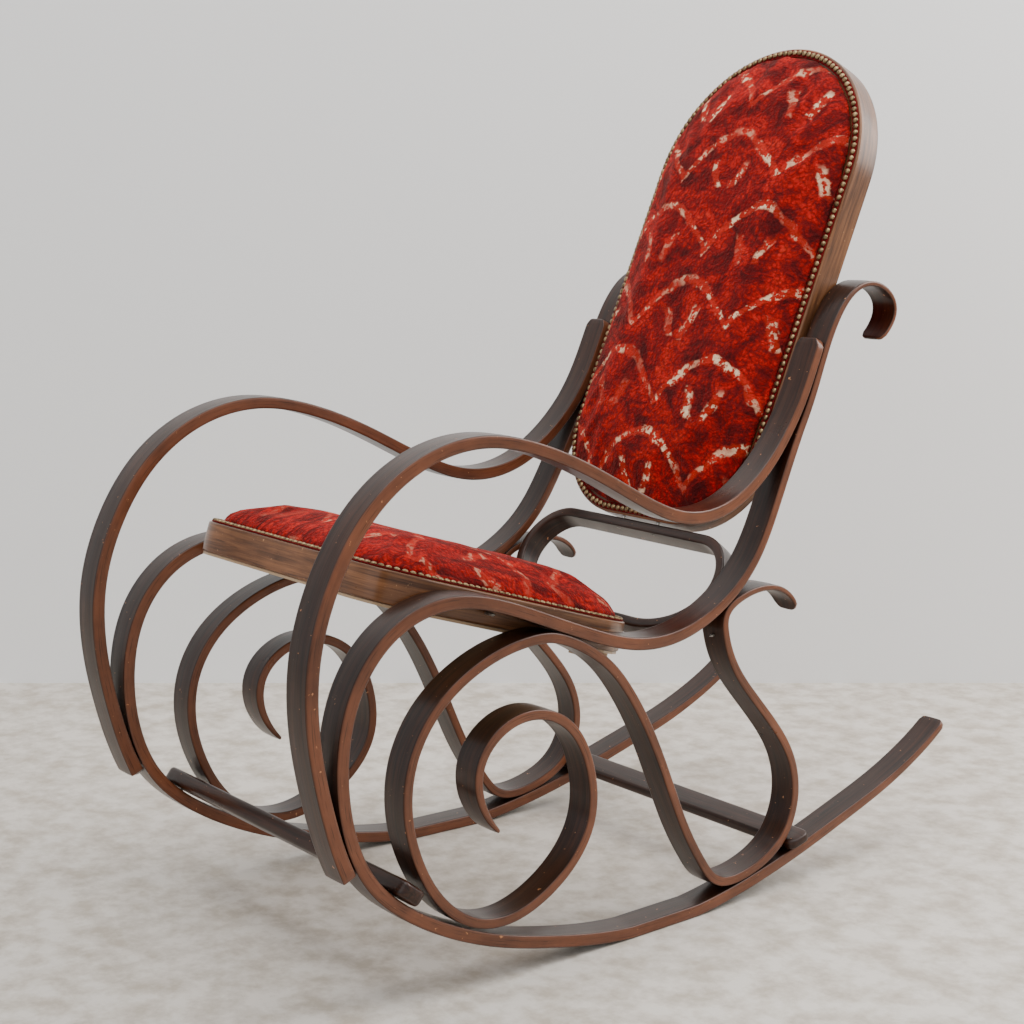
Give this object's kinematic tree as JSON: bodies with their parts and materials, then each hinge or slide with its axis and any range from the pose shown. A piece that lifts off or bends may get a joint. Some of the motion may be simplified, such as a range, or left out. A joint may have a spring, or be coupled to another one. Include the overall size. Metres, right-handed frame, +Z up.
{
  "type": "rocking chair",
  "caption": "Bentwood rocking chair with scrolled side frames on long runners, sweeping open arms and a nailed velvet seat and round-topped back.",
  "frame": {"origin": "on the floor, midway between the two runners and midway along the chair", "axes": "+Z up, the chair faces -Y, +X towards the sitter's left"},
  "size_m": [0.504, 0.9934, 1.0142],
  "materials": {
    "bent_wood": "dark walnut stain, semi-gloss, worn edges",
    "hoop_wood": "dark walnut stain, semi-gloss, lighter where worn",
    "plain_wood": "bare, unfinished",
    "velvet": "cut-pile velvet, crimson with cream figures",
    "padding": "felted stuffing",
    "nails": "antique bronze, dull",
    "screw_steel": "plain"
  },
  "bodies": {
    "root": {"left_side_rail": "bent_wood", "left_arm": "bent_wood", "left_scroll": "bent_wood", "right_side_rail": "bent_wood", "right_arm": "bent_wood", "right_scroll": "bent_wood", "front_stretcher": "bent_wood", "rear_stretcher": "bent_wood", "seat_hoop": "hoop_wood", "seat_board": "plain_wood", "seat_bottom_panel": "plain_wood", "seat_nail_strip": "nails", "seat_padding": "padding", "seat_cushion": "velvet", "back_hoop": "hoop_wood", "back_board": "plain_wood", "back_padding": "padding", "back_rear_panel": "velvet", "back_nail_strip": "nails", "back_cushion": "velvet", "lumbar_loop": "bent_wood", "left_seat_block": "plain_wood", "left_arm_head_screw": "screw_steel", "left_arm_foot_screw": "screw_steel", "left_loop_head_screw": "screw_steel", "left_neck_screw": "screw_steel", "left_front_stretcher_screw": "screw_steel", "left_rear_stretcher_screw": "screw_steel", "left_seat_front_screw": "screw_steel", "left_seat_rear_screw": "screw_steel", "left_back_lower_screw": "screw_steel", "left_back_upper_screw": "screw_steel", "left_lumbar_screw": "screw_steel", "right_seat_block": "plain_wood", "right_arm_head_screw": "screw_steel", "right_arm_foot_screw": "screw_steel", "right_loop_head_screw": "screw_steel", "right_neck_screw": "screw_steel", "right_front_stretcher_screw": "screw_steel", "right_rear_stretcher_screw": "screw_steel", "right_seat_front_screw": "screw_steel", "right_seat_rear_screw": "screw_steel", "right_back_lower_screw": "screw_steel", "right_back_upper_screw": "screw_steel", "right_lumbar_screw": "screw_steel"}
  },
  "joints": []
}
